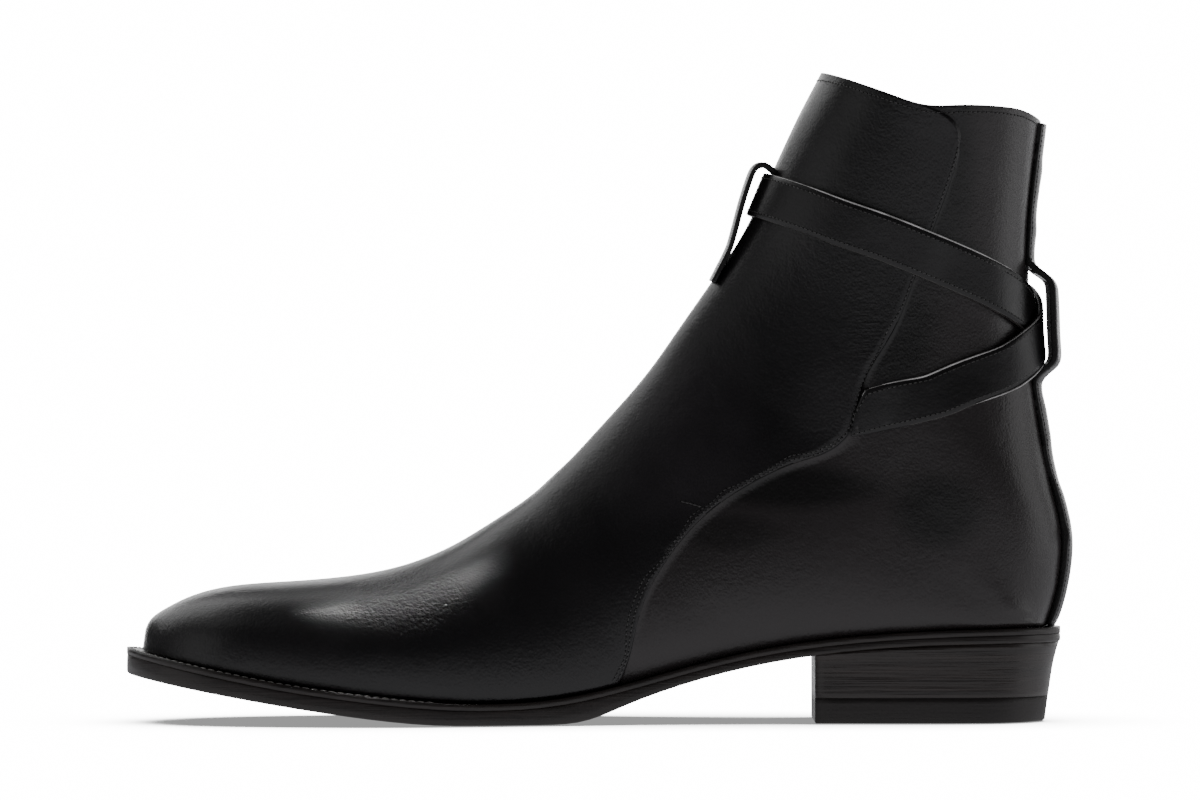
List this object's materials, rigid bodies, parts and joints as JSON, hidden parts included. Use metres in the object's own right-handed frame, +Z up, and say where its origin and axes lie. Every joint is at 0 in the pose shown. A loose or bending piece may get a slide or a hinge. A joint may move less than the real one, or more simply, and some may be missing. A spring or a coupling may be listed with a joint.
{
  "type": "jodhpur boot",
  "caption": "Right ankle jodhpur boot in black polished leather with an almond toe, stacked heel, wrap-around ankle strap and back loop.",
  "frame": {"origin": "middle of the top lift's flat underside, on the floor the boot stands on", "axes": "+X along the boot to the toe, +Y to the boot's inner (big-toe) side, +Z up"},
  "size_m": [0.3107, 0.0982, 0.2129],
  "materials": {
    "calf": "black polished calf",
    "strap_calf": "black polished strap leather",
    "nickel": "brushed nickel plate",
    "sole": "black satin edge dressing",
    "stack": "dark stacked leather, satin",
    "rubber": "matt black rubber",
    "tan": "natural leather, matt"
  },
  "bodies": {
    "root": {"upper": "calf", "backstay": "calf", "front_loop": "strap_calf", "strap": "strap_calf", "buckle_strap": "strap_calf", "strap_keeper": "strap_calf", "buckle_frame": "nickel", "buckle_pin": "nickel", "welt": "sole", "outsole": "sole", "heel_stack": "stack", "top_lift": "rubber", "insole": "tan"}
  },
  "joints": []
}
